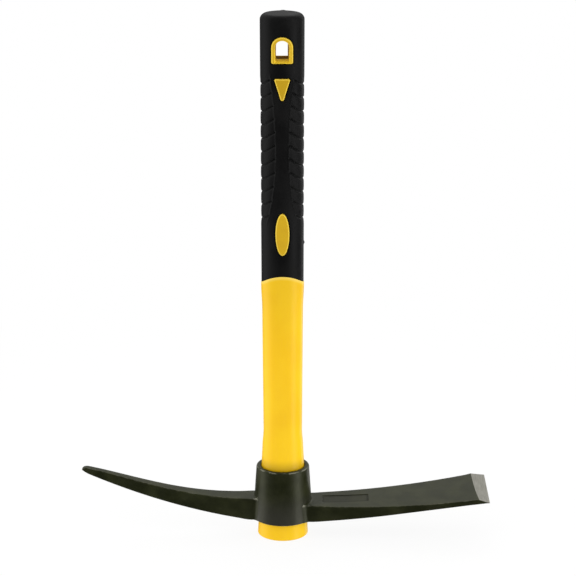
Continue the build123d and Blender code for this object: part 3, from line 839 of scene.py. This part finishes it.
# An inlay: its outline shrinks towards a centre row by row, and each row stands off the grip's oval; the last rows
# round the rim and drop to the floor of the pocket.
def makeInlay(name, node, outline, centre, side, material, paintedShade):
    s = inlaySize
    normal = outlineNormals(outline)
    roll = np.radians(np.linspace(90, 0, 6))
    rows, stand, pale = [], [], []
    for share in (0.0, 0.3, 0.6, 0.85, 1.0):
        rows.append(centre + (outline - normal * s["rim"] - centre) * share)
        stand.append(s["proud"])
        pale.append(0.0)
    for a in roll[1:]:
        rows.append(outline - normal * s["rim"] * (1 - np.cos(a)))
        stand.append(s["proud"] - s["rim"] * 0.75 * (1 - np.sin(a)))
        pale.append(1.0)
    rows = np.stack(rows)
    depth = skinDepth(rows[..., 0]) + np.array(stand)[:, None]
    below = np.stack([outline, outline + (centre - outline) * 0.999])
    rows = np.concatenate([rows, below])
    depth = np.concatenate([depth, np.full((2, len(outline)), s["floor"] + 0.12)])
    pale = np.array(pale + [0.3, 0.0])[:, None]
    grid = np.stack([rows[..., 0], side * depth, rows[..., 1]], -1)
    inlay = surfaceObject(name, [{"points": grid, "capLast": True, "values": {"rimLine": pale, "dullTone": paintedShade}}], 50.0)
    inlay.data.materials.append(material)
    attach(inlay, "handle")
    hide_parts(node)
    return inlay


# The eyelet: a closed section carried round the arch. Each column joins a place on the outer arch to the same
# place on the hole's arch; the rows go over the front rim, into the mouth, along the throat and out at the back.
def makeEyelet(material):
    s = eyeletSize
    count = 44
    outer = archOutline(s["half"], s["low"], s["high"], s["corner"], count)
    hole = archOutline(s["holeHalf"], s["holeLow"], s["holeHigh"], 0.35, count)
    wide = archOutline(s["holeHalf"] + s["flare"], s["holeLow"] - s["sillFlare"], s["holeHigh"] + s["flare"], 0.5, count)
    out = outlineNormals(outer)
    front, pale, paintedSillLight, bore = [], [], [], []

    def ring(place, depth, light, slope=0.0, throat=0.0):
        front.append(np.stack([place[:, 0], -depth, place[:, 1]], -1))
        pale.append(light + 0 * depth)
        paintedSillLight.append(slope + 0 * depth)
        bore.append(throat + 0 * depth)

    face = lambda place: skinDepth(place[:, 0]) + s["proud"]
    ring(outer, 0 * outer[:, 0], 0 * outer[:, 0])
    for a in np.radians([0, 30, 60, 90]):
        place = outer - out * s["rim"] * (1 - math.cos(a))
        ring(place, face(place) - s["rim"] * 0.7 * (1 - math.sin(a)), 0.9)
    band = outer - out * s["rim"]
    for share in (0.35, 0.7):
        place = band + (wide - band) * share
        ring(place, face(place), 0.0)
    for share in (0.0, 0.08, 0.25, 0.5, 0.8, 1.0):
        place = wide + (hole - wide) * (1 - (1 - share) ** 1.2)
        depth = face(wide) + (s["throat"] - face(wide)) * share ** 1.1
        # the lower slope of the mouth gets the painted light
        ring(place, depth, 0.85 if share < 0.2 else 0.2, np.where(wide[:, 1] < s["holeLow"], 1.0, 0.0))
    # the bore's rows get the painted shade
    ring(hole, 0 * hole[:, 0] + s["throat"] - 0.05, 0.0, 0.0, 1.0)
    ring(hole, 0 * hole[:, 0] + s["throat"] * 0.5, 0.0, 0.0, 1.0)
    ring(hole, 0 * hole[:, 0], 0.0, 0.0, 1.0)
    front = np.stack(front)
    back = front[::-1][1:-1] * np.array([1, -1, 1])
    grid = np.concatenate([front, back])
    # the bore leans a little to the pick's side towards the back, so that its +X wall shows
    bored = np.hypot(grid[..., 0], 0) < s["holeHalf"] + 0.01
    grid[..., 0] -= s["lean"] * bored * np.clip((grid[..., 1] + s["throat"]) / (2 * s["throat"]), 0, 1)
    values = {key: np.stack(rows + rows[::-1][1:-1]) for key, rows in (("rimLine", pale), ("sillSlope", paintedSillLight), ("throatBore", bore))}
    eyelet = surfaceObject("hanging_eyelet", [{"points": grid, "wrapRows": True, "values": values}], 50.0)
    eyelet.data.materials.append(material)
    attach(eyelet, "handle")
    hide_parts("hang_hole_eyelet")
    return eyelet


makeHead()
makeShaft()
makeGrip()
mustard = mustardPlastic()
for side, word in ((-1, "front"), (1, "back")):
    # the triangles get painted shade, the ovals none
    makeInlay("triangle_" + word, "triangle_inlay_" + word, evenOutline(triangleOutline(), 72), np.array([0.0, 334.5]), side, mustard, 0.6)
    makeInlay("oval_" + word, "oval_inlay_" + word, ovalOutline(), np.array([0.0, ovalInlaySize["centre"]]), side, mustard, 0.0)
makeEyelet(mustard)
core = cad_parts["fibreglass_core"]
core.data.materials.clear()
core.data.materials.append(glassFibreRod())
print("inlays, eyelet and core made")


# floor, light and camera

studio = {
    "floorSize": 9.0,
    "floorGlow": 0.90, "glowNear": 0.16, "glowFar": 0.45,      # past this distance the floor is seen as pure white
    "fillSide": 1.00, "fillFront": 0.72,                       # light that falls on the object from all round
    "mirrorDark": 0.045, "mirrorBack": 0.60,                    # what its sheen shows in front and behind
    "camera": (0.0037, -0.965, 0.591), "tilt": 67.52, "roll": 0.0, "lens": 96.1,
}
# bright panels that only the sheen shows: bearing from the camera's side in degrees, half width, strength
mirrorPanels = [(-86.0, 38.0, 1.00), (52.0, 15.0, 1.85), (128.0, 20.0, 1.30), (-150.0, 14.0, 0.35)]


# The floor is plain white; what the camera sees of it is mostly its own glow, the rest keeps the object's shadow.
# It is a thin sweep for the camera only, so that the pale room lights the object from below as well.
def makeFloor():
    half = studio["floorSize"] / 2 / mm
    corners = np.array([[[-half, -half, 0], [half, -half, 0]], [[-half, half, 0], [half, half, 0]]], float)
    floor = surfaceObject("studio_floor", [{"points": corners, "wrapColumns": False}])
    material, tree, output, place = newMaterial("studio_white")
    seen = addNode(tree, "ShaderNodeLightPath").outputs["Is Camera Ray"]
    far = addNode(tree, "ShaderNodeVectorMath", {0: place}, operation="LENGTH").outputs["Value"]
    part = rangeOf(tree, far, studio["glowNear"], studio["glowFar"], studio["floorGlow"], 1.0)
    plain = addNode(tree, "ShaderNodeBsdfDiffuse", {"Color": (0.86, 0.86, 0.86, 1)})
    glow = addNode(tree, "ShaderNodeEmission", {"Color": (1, 1, 1, 1), "Strength": 1.0})
    sweep = addNode(tree, "ShaderNodeMixShader", {0: part, 1: plain.outputs[0], 2: glow.outputs[0]})
    clear = addNode(tree, "ShaderNodeBsdfTransparent")
    both = addNode(tree, "ShaderNodeMixShader", {0: seen, 1: clear.outputs[0], 2: sweep.outputs[0]})
    tree.links.new(both.outputs[0], output.inputs["Surface"])
    floor.data.materials.append(material)


# The room lights the object evenly, a little less from the front. Its sheen shows a dark room with a pale end
# behind the object and a few upright panels. The camera sees plain white.
def makeRoom():
    world = bpy.data.worlds.new("studio_room")
    bpy.context.scene.world = world
    world.use_nodes = True
    tree = world.node_tree
    tree.nodes.clear()
    output = tree.nodes.new("ShaderNodeOutputWorld")
    path = addNode(tree, "ShaderNodeLightPath")
    direction = addNode(tree, "ShaderNodeTexCoord").outputs["Generated"]
    axes = addNode(tree, "ShaderNodeSeparateXYZ", {"Vector": direction})
    bearing = maths(tree, "ARCTAN2", axes.outputs["X"], maths(tree, "MULTIPLY", axes.outputs["Y"], -1.0))
    fillLevel = rangeOf(tree, axes.outputs["Y"], -0.95, -0.35, studio["fillFront"], studio["fillSide"])
    behind = maths(tree, "MULTIPLY", rangeOf(tree, axes.outputs["Y"], -0.1, 0.6), rangeOf(tree, axes.outputs["Z"], -0.15, 0.25))
    mirrorLevel = maths(tree, "MULTIPLY_ADD", behind, studio["mirrorBack"])
    tree.nodes.active = mirrorLevel.node
    mirrorLevel.node.inputs[2].default_value = studio["mirrorDark"]
    for middle, half, strength in mirrorPanels:
        off = maths(tree, "ABSOLUTE", maths(tree, "SUBTRACT", bearing, math.radians(middle)))
        panel = rangeOf(tree, off, math.radians(half), math.radians(half * 0.45), 0.0, strength)
        mirrorLevel = maths(tree, "MAXIMUM", mirrorLevel, panel)
    white = addNode(tree, "ShaderNodeBackground", {"Color": (1, 1, 1, 1), "Strength": 1.0})
    fill = addNode(tree, "ShaderNodeBackground", {"Color": (1, 1, 1, 1), "Strength": fillLevel})
    mirror = addNode(tree, "ShaderNodeBackground", {"Color": (1, 1, 1, 1), "Strength": mirrorLevel})
    lit = addNode(tree, "ShaderNodeMixShader", {0: path.outputs["Is Glossy Ray"], 1: fill.outputs[0], 2: mirror.outputs[0]})
    whole = addNode(tree, "ShaderNodeMixShader", {0: path.outputs["Is Camera Ray"], 1: lit.outputs[0], 2: white.outputs[0]})
    tree.links.new(whole.outputs[0], output.inputs["Surface"])


# A soft box at a bearing from the camera's side (0 is in front, positive to the right), facing the object.
# The two side boxes only light the colour; the sheen has its own panels.
def softBox(name, bearing, distance, height, width, tall, power, inSheen, aim=0.19):
    lamp = bpy.data.lights.new(name, "AREA")
    lamp.shape = "RECTANGLE"
    lamp.size = width
    lamp.size_y = tall
    lamp.energy = power
    thing = bpy.data.objects.new(name, lamp)
    a = math.radians(bearing)
    thing.location = (distance * math.sin(a), -distance * math.cos(a), height)
    thing.visible_glossy = inSheen
    across = math.hypot(thing.location.x, thing.location.y)
    thing.rotation_euler = (math.atan2(across, height - aim), 0, math.atan2(thing.location.x, -thing.location.y))
    bpy.context.scene.collection.objects.link(thing)


def makeCamera():
    lens = bpy.data.cameras.new("photo_camera")
    lens.lens = studio["lens"]
    lens.sensor_width = 36.0
    camera = bpy.data.objects.new("photo_camera", lens)
    camera.location = studio["camera"]
    camera.rotation_euler = (math.radians(studio["tilt"]), math.radians(studio["roll"]), 0)
    bpy.context.scene.collection.objects.link(camera)
    bpy.context.scene.camera = camera


makeFloor()
makeRoom()
softBox("left_side", -72, 0.85, 0.30, 0.30, 0.85, 3.0, False)
softBox("right_side", 72, 0.85, 0.30, 0.30, 0.85, 3.4, False)
softBox("top_box", 180, 0.45, 1.10, 0.80, 0.60, 2.0, True)
makeCamera()
bpy.context.scene.view_settings.view_transform = "Standard"
print("studio made")
